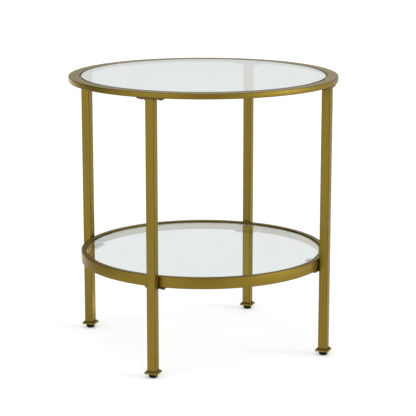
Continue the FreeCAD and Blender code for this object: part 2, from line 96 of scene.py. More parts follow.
class Shader:
    """A material's node tree, with short calls for the nodes that the finishes share."""

    def __init__(self, name: str, world: bpy.types.World | None = None) -> None:
        """Starts an empty material, or an empty sky.

        Args:
            name: the material's name.
            world: the world whose sky is made, in place of a material.
        """
        self.material = world or bpy.data.materials.new(name)
        self.material.use_nodes = True
        self.nodes = self.material.node_tree.nodes
        self.links = self.material.node_tree.links
        self.nodes.clear()
        self.output = self.node("OutputWorld" if world else "OutputMaterial")

    def node(self, kind: str, **settings: object) -> Node:
        """Adds a node and sets its own settings.

        Args:
            kind: the node's type.
            settings: values of the node's settings, by name.

        Returns:
            The node.
        """
        made = self.nodes.new(f"ShaderNode{kind}")
        for name, value in settings.items():
            setattr(made, name, value)
        return made

    def feed(self, socket: Socket, value: object) -> None:
        """Gives a socket a link or a plain value.

        Args:
            socket: the input to fill.
            value: an output socket to link, or a number, vector or colour to set.
        """
        if isinstance(value, Socket):
            self.links.new(value, socket)
        elif isinstance(value, tuple) and socket.type == "RGBA" and len(value) == 3:
            socket.default_value = (*value, 1.0)
        else:
            socket.default_value = value

    def fed(self, kind: str, *values: object, **settings: object) -> Node:
        """Adds a node and feeds its first inputs in turn.

        Args:
            kind: the node's type.
            values: what the first inputs get.
            settings: values of the node's settings, by name.

        Returns:
            The node.
        """
        made = self.node(kind, **settings)
        for number, value in enumerate(values):
            self.feed(made.inputs[number], value)
        return made

    def named(self, kind: str, **inputs: object) -> Node:
        """Adds a node and feeds its inputs by name.

        Args:
            kind: the node's type.
            inputs: what the inputs get, by name, with underscores for spaces.

        Returns:
            The node.
        """
        made = self.node(kind)
        for name, value in inputs.items():
            self.feed(made.inputs[name.replace("_", " ")], value)
        return made

    def math(self, operation: str, first: object, second: object = 0.0) -> Socket:
        """One arithmetic step on numbers."""
        return self.fed("Math", first, second, operation=operation).outputs[0]

    def vector(self, operation: str, first: object, second: object) -> Node:
        """One arithmetic step on vectors."""
        return self.fed("VectorMath", first, second, operation=operation)

    def stretched(self, point: object, factors: tuple[float, float, float]) -> Socket:
        """A vector with each of its parts times its own factor."""
        return self.vector("MULTIPLY", point, factors).outputs[0]

    def length(self, point: object) -> Socket:
        """The length of a vector."""
        return self.vector("LENGTH", point, (0.0, 0.0, 0.0)).outputs["Value"]

    def height(self, point: object) -> Socket:
        """The height of a point."""
        return self.fed("SeparateXYZ", point).outputs[2]

    def place(self) -> Socket:
        """The point on the surface, in metres from the table's foot."""
        return self.node("TexCoord").outputs["Object"]

    def noise(self, vector: object, scale: float, detail: float = 2.0) -> Socket:
        """Smooth noise from 0 to 1: scale waves in a unit of the vector, and detail finer ones."""
        return self.named("TexNoise", Vector=vector, Scale=scale, Detail=detail).outputs["Fac"]

    def ramp(self, value: object, start: float, end: float, low: float, high: float) -> Socket:
        """Spreads the range from start to end over low to high, and holds it at both ends."""
        return self.fed("MapRange", value, start, end, low, high).outputs[0]

    def spread(self, value: object, low: float, high: float) -> Socket:
        """Spreads the middle of a noise, 0.3 to 0.7, over low to high."""
        return self.ramp(value, 0.3, 0.7, low, high)

    def weighed(self, share: float, first: object, second: object) -> Socket:
        """A sum of two numbers: the first times the share, the second times the rest of 1."""
        parts = self.math("MULTIPLY", first, share), self.math("MULTIPLY", second, 1.0 - share)
        return self.math("ADD", *parts)

    def mixed(self, kind: str, start: int, share: object, *values: object) -> Node:
        """Adds a mix of two values of one kind by a share.

        Args:
            kind: the kind of the values.
            start: the number of the input that takes the first value.
            share: how much of the mix is the second value.
            values: the two values.

        Returns:
            The node.
        """
        made = self.fed("Mix", share, data_type=kind)
        for number, value in enumerate(values, start):
            self.feed(made.inputs[number], value)
        return made

    def blend(self, share: object, first: object, second: object) -> Socket:
        """A mix of two colours by a share."""
        return self.mixed("RGBA", 6, share, first, second).outputs[2]

    def between(self, share: object, first: object, second: object) -> Socket:
        """A mix of two numbers by a share."""
        return self.mixed("FLOAT", 2, share, first, second).outputs[0]

    def bump(self, height: object, depth: float, strength: float = 1.0) -> Socket:
        """Relief from a height of 0 to 1 that stands for a depth in metres."""
        made = self.named("Bump", Height=height, Distance=depth, Strength=strength)
        return made.outputs["Normal"]

    def surface(self, **inputs: object) -> Node:
        """Ends the tree in a Principled shader.

        Args:
            inputs: what its inputs get, by name, with underscores for spaces.

        Returns:
            The shader's node.
        """
        made = self.named("BsdfPrincipled", **inputs)
        self.end(made)
        return made

    def end(self, last: Node) -> None:
        """Gives the tree its last shader."""
        self.links.new(last.outputs[0], self.output.inputs["Surface"])


class Grain(Enum):
    """Which way the fine lines in a painted tube run."""

    UPRIGHT = "upright"
    ROUND = "round"
    NONE = "none"


@dataclass(frozen=True)
class GoldPaint:
    """Old-gold metallic paint over drawn steel, with faint lines along the tube.

    The paint is darker where it thins over an edge and where shade is painted, both marked by
    the edge attribute. In this finish and the others lines, clouds, grit and patches are
    counted in waves to the metre, rough is the roughness from low to high, and relief is a depth.
    """

    name: str = "gold_paint"
    grain: Grain = Grain.NONE
    base: Colour = (0.250, 0.166, 0.012)
    light: Colour = (0.310, 0.212, 0.024)
    # the dark colour of worn edges and of painted shade
    edge: Colour = (0.130, 0.084, 0.006)
    glancing: Colour = (0.76, 0.69, 0.55)
    metallic: float = 0.90
    coat: float = 0.30
    wide_lines: float = 330.0
    fine_lines: float = 2400.0
    clouds: float = 16.0
    flakes: float = 2600.0
    along: float = 0.012  # how slowly the lines change along the tube
    rough: tuple[float, float] = (0.33, 0.43)
    relief: float = 0.03 * MM

    def lines(self, shader: Shader) -> Socket:
        """Where the paint's lines are read: fine across the tube and slow along it.

        On a ring the place is (distance from the axis, 0, height) plus a small share of (x, y).

        Args:
            shader: the paint's tree.

        Returns:
            The place, to read a noise at.
        """
        point = shader.place()
        if self.grain is Grain.UPRIGHT:
            return shader.stretched(point, (1.0, 1.0, self.along))
        if self.grain is Grain.NONE:
            return point
        flat = shader.stretched(point, (1.0, 1.0, 0.0))
        across = shader.fed("CombineXYZ", shader.length(flat), 0.0, shader.height(point))
        slow = shader.stretched(flat, (self.along, self.along, 0.0))
        return shader.vector("ADD", across.outputs[0], slow).outputs[0]

    def material(self) -> Material:
        """Builds the paint.

        Returns:
            The material.
        """
        shader = Shader(self.name)
        lines, point = self.lines(shader), shader.place()
        wide = shader.noise(lines, self.wide_lines, 1.0)
        fine = shader.noise(lines, self.fine_lines)
        cloud = shader.noise(point, self.clouds)
        flake = shader.noise(point, self.flakes, 1.0)
        tone = shader.spread(shader.weighed(0.6, wide, fine), 0.0, 1.0)
        tone = shader.math("MULTIPLY", tone, shader.spread(cloud, 0.75, 1.0))
        # the edge attribute marks worn edges and painted shade, which both darken the paint
        edge = shader.node("Attribute", attribute_name="edge").outputs["Fac"]
        worn_and_shaded = shader.math("MULTIPLY", edge, shader.spread(cloud, 0.55, 0.9))
        shader.surface(
            Base_Color=shader.blend(worn_and_shaded, shader.blend(tone, self.base, self.light), self.edge),
            Metallic=self.metallic,
            Roughness=shader.spread(shader.weighed(0.5, flake, cloud), *self.rough),
            Specular_Tint=self.glancing,
            Coat_Weight=self.coat,
            Coat_Roughness=0.22,
            Normal=shader.bump(shader.weighed(0.35, flake, fine), self.relief, 0.6),
        )
        return shader.material


@dataclass(frozen=True)
class ClearGlass:
    """Clear tempered glass: a slight green, the faint wave of the furnace rollers, and dust.

    Lamps reach what is under it, because its shader lets their rays straight through.
    """

    name: str = "clear_glass"
    tint: Colour = (0.930, 0.967, 0.960)
    dusty: float = 0.99  # what dust leaves of the tint
    passed: Colour = (0.955, 0.972, 0.968)
    coat: float = 1.0
    ground: bool = False
    grit: float = 1800.0
    rough: tuple[float, float] = (0.02, 0.06)  # where it is ground
    relief: float = 0.04 * MM
    waves: float = 9.0
    wave_relief: float = 0.05 * MM
    smears: float = 14.0

    def material(self) -> Material:
        """Builds the glass, polished or ground.

        Returns:
            The material.
        """
        shader = Shader(self.name)
        point = shader.place()
        if self.ground:
            grit = shader.noise(point, self.grit)
            rough: object = shader.spread(grit, *self.rough)
            relief = shader.bump(grit, self.relief)
        else:
            rough = 0.0
            wave = shader.noise(shader.stretched(point, (1.0, 0.15, 1.0)), self.waves, 0.0)
            relief = shader.bump(wave, self.wave_relief)
        smear = shader.noise(shader.stretched(point, (1.0, 2.2, 1.0)), self.smears, 4.0)
        smeared = tuple(self.dusty * part for part in self.tint)
        glass = shader.surface(
            Base_Color=shader.blend(shader.spread(smear, 0.0, 1.0), self.tint, smeared),
            Roughness=rough,
            IOR=1.52,
            Transmission_Weight=1.0,
            Coat_Weight=self.coat,
            Coat_Roughness=0.0,
            Normal=relief,
        )
        clear = shader.fed("BsdfTransparent", self.passed)
        rays = shader.node("LightPath").outputs
        through = shader.math("MAXIMUM", rays["Is Shadow Ray"], rays["Is Diffuse Ray"])
        shader.end(shader.fed("MixShader", through, glass.outputs[0], clear.outputs[0]))
        return shader.material


@dataclass(frozen=True)
class Silicone:
    """Clear silicone, milky where it is thick."""

    name: str = "clear_silicone"
    tint: Colour = (0.80, 0.88, 0.86)
    milky: Colour = (0.9, 0.94, 0.93)
    clouds: float = 420.0
    rough: tuple[float, float] = (0.22, 0.36)
    relief: float = 0.02 * MM

    def material(self) -> Material:
        """Builds the silicone.

        Returns:
            The material.
        """
        shader = Shader(self.name)
        haze = shader.noise(shader.place(), self.clouds)
        shader.surface(
            Base_Color=shader.blend(shader.spread(haze, 0.0, 0.5), self.tint, self.milky),
            Roughness=shader.spread(haze, *self.rough),
            IOR=1.41,
            Transmission_Weight=0.75,
            Normal=shader.bump(haze, self.relief),
        )
        return shader.material


@dataclass(frozen=True)
class MouldedNylon:
    """Black nylon with the fine spark-eroded grain of its mould."""

    name: str = "black_nylon"
    base: Colour = (0.004, 0.004, 0.0045)
    scuffed: Colour = (0.022, 0.022, 0.023)
    scuff_height: float = 2.5 * MM
    grit: float = 2200.0
    patches: float = 260.0
    rough: tuple[float, float] = (0.45, 0.62)
    relief: float = 0.03 * MM

    def material(self) -> Material:
        """Builds the nylon, scuffed towards the floor.

        Returns:
            The material.
        """
        shader = Shader(self.name)
        point = shader.place()
        grain = shader.noise(point, self.grit, 3.0)
        patch = shader.noise(point, self.patches, 3.0)
        low = shader.ramp(shader.height(point), 0.0, self.scuff_height, 1.0, 0.0)
        scuff = shader.math("MULTIPLY", low, shader.spread(patch, 0.1, 0.9))
        shader.surface(
            Base_Color=shader.blend(scuff, self.base, self.scuffed),
            Roughness=shader.spread(grain, *self.rough),
            Specular_IOR_Level=0.14,
            Normal=shader.bump(grain, self.relief),
        )
        return shader.material


@dataclass(frozen=True)
class ZincPlate:
    """Bright zinc plate on a turned fastener, with turning marks and dull patches."""

    name: str = "zinc_plate"
    base: Colour = (0.60, 0.61, 0.62)
    dull: Colour = (0.46, 0.46, 0.45)
    lines: float = 5200.0
    patches: float = 240.0
    rough: tuple[float, float] = (0.24, 0.42)
    relief: float = 0.015 * MM

    def material(self) -> Material:
        """Builds the plating.

        Returns:
            The material.
        """
        shader = Shader(self.name)
        point = shader.place()
        marks = shader.noise(shader.stretched(point, (0.05, 0.05, 1.0)), self.lines, 1.0)
        patch = shader.noise(point, self.patches, 3.0)
        shader.surface(
            Base_Color=shader.blend(shader.spread(patch, 0.0, 1.0), self.base, self.dull),
            Metallic=1.0,
            Roughness=shader.spread(patch, *self.rough),
            Normal=shader.bump(marks, self.relief),
        )
        return shader.material


# painted shade, each a base, a light and an edge colour: the top ring's dark bore, the lower ring's
# lip above its glass, and the welds
BORE_SHADE_PAINT = ((0.035, 0.026, 0.006), (0.060, 0.044, 0.010), (0.030, 0.022, 0.005))
LIP_SHADE_PAINT = ((0.085, 0.062, 0.010), (0.120, 0.088, 0.016), (0.060, 0.042, 0.006))
WELD_SHADE_PAINT = ((0.13, 0.086, 0.008), (0.17, 0.115, 0.013), (0.030, 0.020, 0.004))


def finished(finish: GoldPaint | ClearGlass | Silicone | MouldedNylon | ZincPlate) -> Material:
    """A field that holds a finish's material, built when the palette is."""
    return field(default_factory=finish.material)


@dataclass(frozen=True)
class Palette:
    """The finishes of the table, each made once."""

    tube_upright: Material = finished(GoldPaint("gold_paint_leg", Grain.UPRIGHT))
    tube_round: Material = finished(GoldPaint("gold_paint_ring", Grain.ROUND))
    # painted shade: both bore finishes darken the ring's wall above and round its glass
    tube_bore_shade: Material = finished(
        GoldPaint("gold_paint_bore", Grain.ROUND, *BORE_SHADE_PAINT, metallic=0.5, coat=0.0)
    )
    # painted shade on the lower ring's wall above its glass
    tube_lip_shade: Material = finished(
        GoldPaint("gold_paint_lip", Grain.ROUND, *LIP_SHADE_PAINT, metallic=0.7, coat=0.0)
    )
    # its darker edge colour also paints the shade on the foot's upper face
    plate: Material = finished(GoldPaint("gold_paint_plate", edge=(0.050, 0.034, 0.004)))
    # painted shade: the flange plates, brackets and tabs under the rings are painted darker
    shaded_underplate: Material = finished(
        GoldPaint("gold_paint_underplate", base=(0.130, 0.086, 0.009), light=(0.175, 0.120, 0.015))
    )
    # painted shade: the welds are painted darker, most towards the plate
    weld: Material = finished(GoldPaint("gold_paint_weld", Grain.NONE, *WELD_SHADE_PAINT))
    # darker bolts: partly their own darker gold, partly painted shade under the rings
    bolt: Material = finished(
        GoldPaint(
            "gold_paint_bolt", base=(0.095, 0.063, 0.010), light=(0.135, 0.092, 0.016), coat=0.1
        )
    )
    glass: Material = finished(ClearGlass())
    glass_edge: Material = finished(
        ClearGlass("ground_glass_edge", tint=(0.03, 0.17, 0.10), coat=0.0, ground=True)
    )
    pale_glass_edge: Material = finished(
        ClearGlass("pale_ground_glass_edge", tint=(0.34, 0.64, 0.52), coat=0.0, ground=True)
    )
    silicone: Material = finished(Silicone())
    nylon: Material = finished(MouldedNylon())
    zinc: Material = finished(ZincPlate())


# ---------------------------------------------------------------- surfaces


@dataclass
class Shell:
    """A closed surface as arrays: points, four-sided and three-sided faces, and two marks.

    edge is 1 on the points of a worn edge, and also marks where shade is painted; patch is the
    material index of each face.
    """

    points: np.ndarray
    quads: np.ndarray
    triangles: np.ndarray
    edge: np.ndarray
    quad_patch: np.ndarray
    triangle_patch: np.ndarray

    @classmethod
    def grid(
        cls,
        points: np.ndarray,
        edge: np.ndarray | float = 0.0,
        loop_rows: bool = False,
        cap_start: bool = False,
        cap_end: bool = False,
    ) -> "Shell":
        """A surface over a grid of points whose columns close on themselves.

        Point (i, j) is joined to (i, j + 1) and (i + 1, j), with j taken round the loop. A cap
        joins the first or the last row to its own middle.

        Args:
            points: rows x columns x 3.
            edge: wear and painted shade, one mark a row, column or point, spread to the whole grid.
            loop_rows: whether the last row joins the first.
            cap_start: whether the first row is closed by a fan.
            cap_end: whether the last row is closed by a fan.

        Returns:
            The shell.
        """
        rows, columns = points.shape[:2]
        index = np.arange(rows * columns).reshape(rows, columns)
        beside = np.roll(index, -1, 1)
        corners = [index, beside, np.roll(beside, -1, 0), np.roll(index, -1, 0)]
        quads = np.stack(corners, -1)[: rows if loop_rows else rows - 1].reshape(-1, 4)
        caps = []
        if cap_start:
            caps.append((points[0], beside[0], index[0]))
        if cap_end:
            caps.append((points[-1], index[-1], beside[-1]))
        middles = np.array([rim.mean(0) for rim, _, _ in caps]).reshape(-1, 3)
        fans = [
            np.stack([first, second, np.full(columns, rows * columns + number)], -1)
            for number, (_, first, second) in enumerate(caps)
        ]
        triangles = np.array(fans, int).reshape(-1, 3)
        marks = np.broadcast_to(edge, (rows, columns)).reshape(-1)
        return cls(
            np.concatenate([points.reshape(-1, 3), middles]),
            quads,
            triangles,
            np.concatenate([marks, np.zeros(len(middles))]),
            np.zeros(len(quads), int),
            np.zeros(len(triangles), int),
        )

    @classmethod
    def joined(cls, shells: list["Shell"]) -> "Shell":
        """Several shells as one.

        Args:
            shells: the shells, each of which keeps its own points.

        Returns:
            The joined shell.
        """
        starts = np.cumsum([0] + [len(shell.points) for shell in shells])
        shifted = [
            replace(shell, quads=shell.quads + start, triangles=shell.triangles + start)
            for shell, start in zip(shells, starts)
        ]
        arrays = [vars(shell).values() for shell in shifted]
        return cls(*map(np.concatenate, zip(*arrays)))

    def turned(self, angle: float) -> "Shell":
        """The shell turned about the table's axis: (x, y) times the matrix of the angle.

        Args:
            angle: the turn in radians, anticlockwise from above.

        Returns:
            The turned shell.
        """
        cosine, sine = math.cos(angle), math.sin(angle)
        spin = np.array([[cosine, sine, 0.0], [-sine, cosine, 0.0], [0.0, 0.0, 1.0]])
        return replace(self, points=self.points @ spin)

    def moved(self, x: float = 0.0, y: float = 0.0, z: float = 0.0) -> "Shell":
        """The shell moved in a straight line."""
        return replace(self, points=self.points + (x, y, z))

    def on_corners(self) -> "Shell":
        """The shell repeated at the four corners."""
        return Shell.joined([self.turned(corner.turn) for corner in Corner])

    def mesh(self, name: str, crease: float) -> bpy.types.Mesh:
        """Puts the arrays into a mesh.

        Args:
            name: the mesh's name.
            crease: edges that turn by more than this many degrees are sharp.

        Returns:
            The mesh, shaded smooth between its creases.
        """
        mesh = bpy.data.meshes.new(name)
        corners = np.concatenate([self.quads.reshape(-1), self.triangles.reshape(-1)])
        sides = np.repeat([4, 3], [len(self.quads), len(self.triangles)])
        starts = np.concatenate([[0], np.cumsum(sides)[:-1]])
        patches = np.concatenate([self.quad_patch, self.triangle_patch])
        mesh.vertices.add(len(self.points))
        mesh.vertices.foreach_set("co", self.points.astype(np.float32).reshape(-1))
        mesh.loops.add(len(corners))
        mesh.loops.foreach_set("vertex_index", corners.astype(np.int32))
        mesh.polygons.add(len(sides))
        for setting, values in (
            ("loop_start", starts),
            ("loop_total", sides),
            ("material_index", patches),
        ):
            mesh.polygons.foreach_set(setting, values.astype(np.int32))
        mesh.update(calc_edges=True)
        mesh.validate()
        # the edge attribute carries both edge wear and painted shade
        marks = mesh.attributes.new("edge", "FLOAT", "POINT")
        marks.data.foreach_set("value", self.edge.astype(np.float32))
        mesh.shade_smooth()
        mesh.set_sharp_from_angle(angle=math.radians(crease))
        return mesh


def rounded_loop(wide: float, high: float, radius: float, steps: int) -> tuple[np.ndarray, ...]:
    """A rectangle with round corners about the origin, anticlockwise.

    Each corner's points are its centre plus the radius times (cos a, sin a), with a from the
    start of its quarter turn to the end, so straight sides need no points of their own.

    Args:
        wide: size along the first axis.
        high: size along the second axis.
        radius: corner radius.
        steps: how many spans divide each corner.

    Returns:
        The points, n x 2, their outward normals, n x 2, and 1 for each point inside a corner.
    """
    quarter = np.arange(4)[:, None]
    turn = (quarter + np.linspace(0.0, 1.0, steps + 1)[None, :]) * QUARTER_TURN
    signs = np.array([(1, 1), (-1, 1), (-1, -1), (1, -1)], float)
    centres = signs * (wide / 2 - radius, high / 2 - radius)
    normals = np.stack([np.cos(turn), np.sin(turn)], -1)
    points = centres[:, None, :] + radius * normals
    inside = np.zeros((4, steps + 1))
    inside[:, 1:-1] = 1.0
    return points.reshape(-1, 2), normals.reshape(-1, 2), inside.reshape(-1)


def even_turn(columns: int) -> np.ndarray:
    """Angles in radians, evenly spread over a full turn."""
    return np.arange(columns) * (FULL_TURN / columns)


def spun(radius: np.ndarray, level: np.ndarray, columns: int) -> np.ndarray:
    """Points (r cos t, r sin t, z), with t evenly spread over a full turn.

    Args:
        radius: one for each row, n x 1, or one for each point, n x columns.
        level: the height of each row, n x 1.
        columns: how many steps make the full turn.

    Returns:
        The points, n x columns x 3.
    """
    turn = even_turn(columns)
    height = np.broadcast_to(level, (len(level), columns))
    return np.stack([radius * np.cos(turn), radius * np.sin(turn), height], -1)


def turned_profile(
    profile: np.ndarray, columns: int, edge: np.ndarray | float = 0.0, closed: bool = False
) -> Shell:
    """A profile of radius and height, turned about the Z axis.

    A profile that isn't closed has its ends capped, and runs upwards on the outside.

    Args:
        profile: n x 2, radius and height.
        columns: how many steps make the full turn.
        edge: a wear and painted shade mark for each point of the profile, n x 1.
        closed: whether the profile is a loop.

    Returns:
        The shell, about the origin.
    """
    points = spun(profile[:, :1], profile[:, 1:], columns)
    return Shell.grid(points, edge, loop_rows=closed, cap_start=not closed, cap_end=not closed)


def arc(
    centre: tuple[float, float], radius: float, start: float, end: float, steps: int
) -> np.ndarray:
    """Points on an arc: the centre plus the radius times (cos a, sin a), a in degrees."""
    turn = np.radians(np.linspace(start, end, steps + 1))
    return np.stack([centre[0] + radius * np.cos(turn), centre[1] + radius * np.sin(turn)], -1)


def slab(outline: np.ndarray, normals: np.ndarray, low: float, high: float, ease: float) -> Shell:
    """A level slab from its outline, with both rims eased.

    Each row is the outline moved inwards along its normals by ease (1 - cos a) at a height that
    is ease (1 - sin a) from the face, with a running over a quarter turn at each rim.

    Args:
        outline: n x 2, anticlockwise.
        normals: n x 2, outward.
        low: height of the lower face.
        high: height of the upper face.
        ease: radius of the eased rims.

    Returns:
        The slab, with the middle of its eased rims marked.
    """
    quarter = np.linspace(0.0, QUARTER_TURN, 4)
    rise, fall = 1 - np.cos(quarter), 1 - np.sin(quarter)
    inset = ease * np.concatenate([fall, rise])
    level = np.concatenate([low + ease * rise, high - ease * fall])
    flat = outline[None] - inset[:, None, None] * normals[None]
    height = np.broadcast_to(level[:, None, None], (*flat.shape[:2], 1))
    marks = np.tile([0.0, 1.0, 1.0, 0.0], 2)[:, None]
    return Shell.grid(np.concatenate([flat, height], -1), marks, cap_start=True, cap_end=True)


@dataclass(frozen=True)
class Plate:
    """A level plate with round corners and eased rims, its sides along X and Y."""

    along: float
    across: float
    thick: float
    corner: float
    ease: float = 0.35 * MM
    corner_steps: int = 5

    def shell(self, x: float, low: float) -> Shell:
        """The plate in place.

        Args:
            x: how far its middle is from the table's axis.
            low: height of its lower face.

        Returns:
            The plate, as if its leg stood on +X.
        """
        size = (self.along, self.across)
        outline, normals, _ = rounded_loop(*size, self.corner, self.corner_steps)
        return slab(outline + (x, 0.0), normals, low, low + self.thick, self.ease)


def put_in_scene(name: str, data: bpy.types.ID) -> bpy.types.Object:
    """Makes an object.

    Args:
        name: the object's name.
        data: its mesh, lamp or camera.

    Returns:
        The object, in the scene.
    """
    made = bpy.data.objects.new(name, data)
    bpy.context.scene.collection.objects.link(made)
    return made


@dataclass(frozen=True)
class Piece:
    """How a finished mesh joins the table."""

    name: str
    nodes: tuple[str, ...] = ()
    slot: Slot = Slot.GOLD_PAINT
    body: str = "frame"
    crease: float = 32.0

    def place(self, shell: Shell, *materials: Material) -> None:
        """Makes the object, dresses it and hangs it on its body.

        Args:
            shell: the surface, in place.
            materials: its finishes, in the order of the shell's patches.
        """
        mesh = shell.mesh(self.name, self.crease)
        made = put_in_scene(self.name, mesh)
        for material in materials:
            mesh.materials.append(material)
        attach(made, self.body)
        if self.nodes:
            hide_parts(*self.nodes)
        LOG.info("%s rides on %s, %d faces", self.name, self.body, len(mesh.polygons))


def dress_node(name: str, material: Material) -> None:
    """Gives a carried-over node its finish in every slot.

    Args:
        name: the node's name.
        material: its finish.
    """
    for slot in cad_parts[name].material_slots:
        slot.material = material
    LOG.info("%s keeps its solid, with %s", name, material.name)


# ---------------------------------------------------------------- small pieces


@dataclass(frozen=True)
class ButtonBolt:
    """A button head bolt seen from below: domed head with a hexagon socket."""

    head: float = 9.5 * MM
    tall: float = 2.8 * MM
    rim: float = 0.5 * MM
    seat_ease: float = 0.15 * MM
    flat: float = 5.0 * MM
    socket: float = 3.0 * MM
    deep: float = 1.6 * MM
    chamfer: float = 0.2 * MM
    drill_point: float = 0.3 * MM
    drill_share: float = 0.55
    shank: float = 5.0 * MM
    reach: float = 10.0 * MM
    thread_end: float = 0.5 * MM
    columns: int = 48
    dome_steps: int = 8

    def shell(self) -> Shell:
        """The bolt, head down, with its seat at the origin.

        Rows run from the socket's floor out of the socket, over the dome, in along the seat and
        up the shank. The dome is an ellipse's quarter in the profile. The socket's radius at a
        turn t is half its flats over cos(t'), with t' the turn from the nearest flat's middle.

        Returns:
            The bolt, hanging from the origin.
        """
        flat_turn = FULL_TURN / 6
        to_flat = (even_turn(self.columns) + flat_turn / 2) % flat_turn - flat_turn / 2
        hexagon = self.socket / 2 / np.cos(to_flat)
        bow = np.linspace(QUARTER_TURN, 0.0, self.dome_steps + 1)[:-1]
        dome_radius = self.flat / 2 + (self.head - self.flat) / 2 * np.cos(bow)
        dome_level = -self.rim - (self.tall - self.rim) * np.sin(bow)
        profile = np.array(
            [
                *zip(dome_radius, dome_level),
                (self.head / 2, -self.rim),
                (self.head / 2, -self.seat_ease),
                (self.head / 2 - self.seat_ease, 0.0),
                (self.shank / 2, 0.0),
                (self.shank / 2, self.reach - self.thread_end),
                (self.shank / 2 - self.thread_end, self.reach),
            ]
        )
        inner = [hexagon * self.drill_share, hexagon, hexagon, hexagon + self.chamfer]
        depths = np.array([self.deep + self.drill_point, self.deep, self.chamfer, 0.0])
        radius = np.concatenate([np.stack(inner), np.repeat(profile[:, :1], self.columns, 1)])
        level = np.concatenate([depths - self.tall, profile[:, 1]])[:, None]
        return Shell.grid(spun(radius, level, self.columns), cap_start=True, cap_end=True)


@dataclass(frozen=True)
class Bumper:
    """A clear self-adhesive bumper with a flat crown."""

    wide: float = 10.0 * MM
    tall: float = 2.0 * MM
    shoulder: float = 1.1 * MM
    columns: int = 40
    steps: int = 8

    def shell(self) -> Shell:
        """The bumper: a straight foot, then an ellipse's quarter up to the crown.

        Returns:
            The bumper, standing on the origin.
        """
        bow = np.linspace(0.0, QUARTER_TURN, self.steps + 1)
        radius = self.wide / 2 - self.shoulder * (1 - np.cos(bow))
        level = self.tall - self.shoulder * (1 - np.sin(bow))
        profile = np.concatenate([[(self.wide / 2, 0.0)], np.stack([radius, level], -1)])
        return turned_profile(profile, self.columns)


@dataclass(frozen=True)
class WeldBead:
    """A ripple weld in the corner between an upright tube and a level plate."""

    ripple: float = 1.9 * MM
    depth: float = 0.10
    root: float = 0.4 * MM
    body: float = 0.78
    swell: float = 0.10
    # painted shade: the bead's mark is this less its rise, so it is full near the plate
    shade_from: float = 1.15
    corner_steps: int = 6
    arc_steps: int = 6
    ripple_steps: int = 6

    def wave(self, along: np.ndarray) -> np.ndarray:
        """The bead's size along its run: 1 + depth (|sin(pi s / ripple)| - 1/2)."""
        return 1 + self.depth * (np.abs(np.sin(math.pi * along / self.ripple)) - 0.5)

    def round_tube(
        self,
        side: float,
        radius: float,
        reach_x: float,
        reach_y: float,
        level: float,
        upwards: bool,
    ) -> Shell:
        """A bead all round a square tube.

        The tube's outline is cut into even steps. At a step s along it the bead's section is a
        quarter turn from the tube to the plate, swollen by swell sin(2 a) over body, of a size
        that follows the outline's normal, times the wave at s. The bead is marked darker towards
        the plate, as painted shade in the corner.

        Args:
            side: side of the tube.
            radius: the tube's corner radius.
            reach_x: size of the bead on faces square to X.
            reach_y: size of the bead on faces square to Y.
            level: height of the plate's face.
            upwards: whether the bead stands on the plate or hangs below it.

        Returns:
            The bead, about the tube's axis.
        """
        outline, normals, _ = rounded_loop(side, side, radius, self.corner_steps)
        ring = np.concatenate([outline, outline[:1]])
        facing = np.concatenate([normals, normals[:1]])
        along = np.concatenate([[0.0], np.cumsum(np.linalg.norm(np.diff(ring, axis=0), axis=1))])
        count = int(along[-1] / self.ripple) * self.ripple_steps
        even = np.arange(count) * (along[-1] / count)
        spot, outward = (
            np.stack([np.interp(even, along, loop[:, axis]) for axis in (0, 1)], -1)
            for loop in (ring, facing)
        )
        outward /= np.linalg.norm(outward, axis=1, keepdims=True)
        weight = outward**2
        reach = (reach_x * weight[:, 0] + reach_y * weight[:, 1]) * self.wave(even)
        bow = np.linspace(0.0, QUARTER_TURN, self.arc_steps + 1)
        bulge = (self.body + self.swell * np.sin(2 * bow)) / self.body
        out = np.concatenate([[-1.0], np.cos(bow) * bulge, [-1.0]])
        up = np.concatenate([[0.0], np.sin(bow) * bulge, [1.0]])
        away = np.where(out[:, None] < 0, -self.root, out[:, None] * reach[None])
        lift = up[:, None] * reach[None]
        lift[:2] = -self.root
        flat = spot[None] + away[..., None] * outward[None]
        height = level + (lift if upwards else -lift)
        points = np.concatenate([flat, height[..., None]], -1)
        # painted shade, darker towards the plate
        corner_shade = np.clip(self.shade_from - up, 0.0, 1.0)[:, None]
        order = slice(None, None, 1 if upwards else -1)
        return Shell.grid(points[order], corner_shade[order], loop_rows=True)


# ---------------------------------------------------------------- tiers


